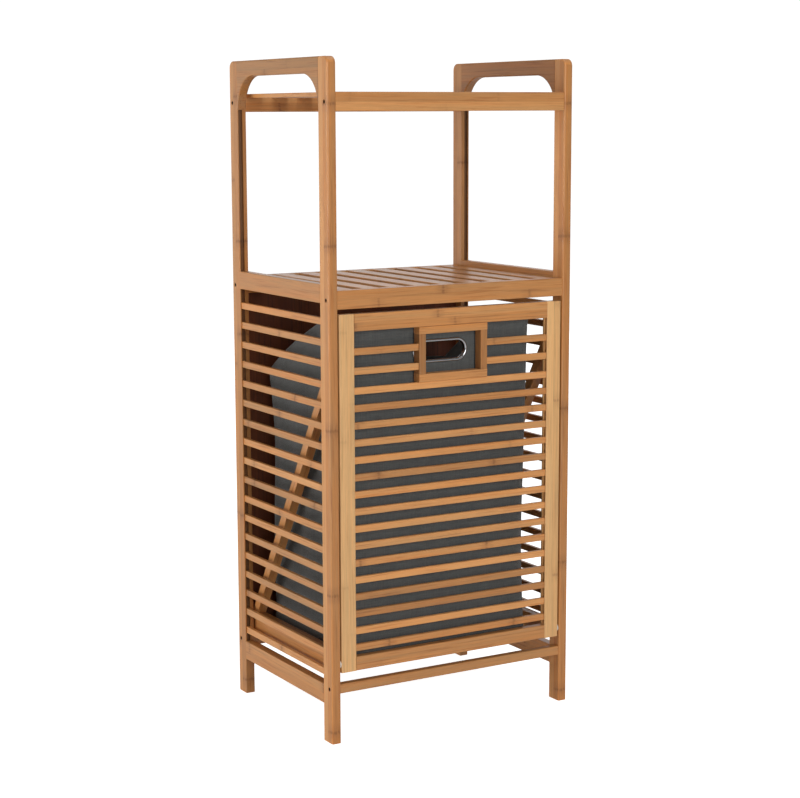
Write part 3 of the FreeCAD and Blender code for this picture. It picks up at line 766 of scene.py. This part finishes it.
def make_hem_stitches(bag, thread):
    """Stitches along the hem: each is a small round bar, bowed so that its ends dip into the cloth."""
    girth_length = 4 * bag.half.sum()
    count = int(girth_length / STITCH_PITCH)
    along_rows, round_columns = 5, 6
    place = (np.arange(count) + 0.5) / count
    t = np.linspace(-0.5, 0.5, along_rows)
    s = place[:, None] + t[None, :] * STITCH_LENGTH / girth_length
    rim_z = bag.rim(bag.girth(s, BAG_RIM_CORNER_R)[0][..., 1])
    foot_z = bag.foot + BAG_FOOT_R
    h = (rim_z - HEM_DEPTH + STITCH_ABOVE_HEM_EDGE - foot_z) / (rim_z - foot_z)
    centre, normal = bag.wall(s, h)
    normal = np.concatenate([normal, np.zeros_like(normal[..., :1])], -1)
    dip = (0.25 - t ** 2) * 4 * STITCH_R * 1.2 - STITCH_R * 0.5
    centre = centre + normal * dip[None, :, None]
    tangent = np.gradient(centre, axis=1)
    tangent /= np.linalg.norm(tangent, axis=-1, keepdims=True)
    side = np.cross(tangent, normal)
    angle = np.arange(round_columns) / round_columns * 2 * math.pi
    girth = STITCH_R * np.sqrt(np.maximum(1 - (2 * t) ** 4, 0.05))[None, :, None, None]
    ring = (normal[:, :, None] * np.cos(angle)[:, None] + side[:, :, None] * np.sin(angle)[:, None]) * girth
    points = centre[:, :, None] + ring
    start = np.arange(count)[:, None] * along_rows * round_columns
    faces = (grid_faces(along_rows, round_columns) + start[..., None]).reshape(-1, 4).tolist()
    first_cap = np.arange(round_columns)[::-1]
    last_cap = (along_rows - 1) * round_columns + np.arange(round_columns)
    for cap in (first_cap, last_cap):
        faces += (cap + start).tolist()
    mesh_piece("hem_stitches", points.reshape(-1, 3), faces, thread)


def thread_material():
    """Sewing thread: soft smears in its tone and hairline marks in its roughness."""
    g, shader, place, material = new_material("hem thread")
    marks = use_group(g, MARKS_GROUP, Vector=place)
    g.feed(shader.inputs["Base Color"],
           g.mix(marks["Smear"], (0.060, 0.064, 0.064, 1.0), (0.13, 0.136, 0.136, 1.0)))
    g.feed(shader.inputs["Roughness"], g.math("MULTIPLY_ADD", marks["Hair"], 0.2, 0.6))
    return material


def make_ring(chrome):
    """Oval ring pressed through the bag's front.

    The path is a stadium: a point of the straight middle line plus its outward normal times a radius.
    The profile is one closed loop of (radius, depth): a domed flange in front, a sleeve through the
    cloth, and a flatter flange behind.
    """
    low, high = (np.array(corner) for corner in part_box("bag_grommet"))
    centre = (low + high) / 2
    outer = (high[2] - low[2]) / 2
    reach = (high[0] - low[0]) / 2 - outer
    cloth_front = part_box("laundry_bag")[0][1]
    cloth_back = cloth_front + BAG_CLOTH_T + RING_BACK_GAP
    inner = outer - RING_RIM
    sleeve = inner + RING_SLEEVE
    front, back = low[1] + RING_FRONT_GAP, min(high[1], cloth_back + RING_BACK_T)
    middle = (outer + inner) / 2
    turn = np.linspace(0, math.pi, 15)
    flange_radius = middle + RING_RIM / 2 * np.cos(turn)
    front_dome = cloth_front + (front - cloth_front) * np.sin(turn)
    back_dome = cloth_back + (back - cloth_back) * np.sin(turn[::-1])
    radius = np.concatenate([flange_radius, flange_radius[::-1], [sleeve, sleeve]])
    depth = np.concatenate([front_dome, back_dome, [cloth_back, cloth_front]])
    arc_columns, straight_columns = 48, 16
    half_turn = np.linspace(-math.pi / 2, math.pi / 2, arc_columns, endpoint=False)
    straight = np.linspace(1, -1, straight_columns, endpoint=False)
    heading = np.concatenate([half_turn, np.full(straight_columns, math.pi / 2), half_turn + math.pi,
                              np.full(straight_columns, -math.pi / 2)])
    spine = np.concatenate([np.full(arc_columns, 1.0), straight, np.full(arc_columns, -1.0), -straight])
    x = centre[0] + spine[None] * reach + radius[:, None] * np.cos(heading)[None]
    z = centre[2] + radius[:, None] * np.sin(heading)[None]
    y = np.broadcast_to(depth[:, None], x.shape)
    points = np.stack([x, y, z], -1)
    faces = grid_faces(len(radius), x.shape[1], wrap_rows=True)[:, ::-1]
    piece = mesh_piece("oval_ring", points, faces.tolist(), chrome)
    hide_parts("bag_grommet")


# ---------------------------------------------------------------- stage

def make_floor():
    g, shader, place, material = new_material("studio floor")
    cloud = g.noise(g.vector_math("MULTIPLY", place, (1.5, 1.5, 1.5)), 2.0)
    g.feed(shader.inputs["Base Color"], g.mix(cloud, (0.90, 0.90, 0.90, 1.0), (0.93, 0.93, 0.93, 1.0)))
    shader.inputs["Roughness"].default_value = 0.9
    glow = g.add("Emission", {"Color": WHITE, "Strength": FLOOR_LIFT})
    lifted = g.add("AddShader", {0: shader.outputs[0], 1: glow.outputs[0]})
    direct = g.add("LightPath").outputs["Is Camera Ray"]
    mixed = g.add("MixShader", {0: direct, 1: shader.outputs[0], 2: lifted.outputs[0]})
    output = next(node for node in material.node_tree.nodes if node.type == "OUTPUT_MATERIAL")
    g.feed(output.inputs[0], mixed.outputs[0])
    size = FLOOR_HALF
    corners = [(-size, -size, 0), (size, -size, 0), (size, size, 0), (-size, size, 0)]
    mesh = bpy.data.meshes.new("floor")
    mesh.from_pydata(corners, [], [(0, 1, 2, 3)])
    mesh.materials.append(material)
    floor = bpy.data.objects.new("floor", mesh)
    bpy.context.scene.collection.objects.link(floor)


def make_world(light, background):
    """White surroundings that light the object with one strength and show behind it with another."""
    world = bpy.data.worlds.new("studio")
    world.use_nodes = True
    tree = world.node_tree
    tree.nodes.clear()
    g = Graph(tree)
    lit = g.add("Background", {"Color": WHITE, "Strength": light}).outputs[0]
    seen = g.add("Background", {"Color": WHITE, "Strength": background}).outputs[0]
    direct = g.add("LightPath").outputs["Is Camera Ray"]
    mixed = g.add("MixShader", {0: direct, 1: lit, 2: seen}).outputs[0]
    tree.links.new(mixed, g.add("OutputWorld").inputs[0])
    bpy.context.scene.world = world


def area_light(name, place, aim, size, power):
    data = bpy.data.lights.new(name, "AREA")
    data.shape = "SQUARE"
    data.size = size
    data.energy = power
    lamp = bpy.data.objects.new(name, data)
    bpy.context.scene.collection.objects.link(lamp)
    lamp.location = place
    lamp.rotation_euler = (Vector(aim) - Vector(place)).to_track_quat("-Z", "Y").to_euler()


def make_camera():
    """Camera at the left front of the cabinet, a little below its top, looking slightly down."""
    yaw, pitch, roll = math.radians(30.09), math.radians(8.94), math.radians(-0.25)
    data = bpy.data.cameras.new("camera")
    data.sensor_width = 36.0
    data.lens = 83.77
    data.shift_x = 0.0175
    data.shift_y = 0.010
    data.dof.use_dof = False
    camera = bpy.data.objects.new("camera", data)
    bpy.context.scene.collection.objects.link(camera)
    camera.location = (-1.389, -2.355, 0.873)
    aim = Euler((math.pi / 2 - pitch, 0, -yaw)).to_matrix() @ Matrix.Rotation(roll, 3, "Z")
    camera.rotation_euler = aim.to_euler()
    bpy.context.scene.camera = camera


def main():
    scene = bpy.context.scene
    scene.view_settings.view_transform = "Standard"
    make_camera()
    make_world(WORLD_LIGHT, WORLD_SEEN)
    for light in LIGHTS:
        area_light(*light)
    make_floor()
    paint_bamboo()
    paint_hardware()
    bag = Bag()
    make_bag(bag, cloth_material("bag cloth", (0.094, 0.099, 0.096, 1.0), THREAD_PITCH))
    make_hem_stitches(bag, thread_material())
    make_ring(metal_material("chrome", (0.56, 0.56, 0.57, 1.0), 0.05, 0.06, 0.01 * MM))


main()
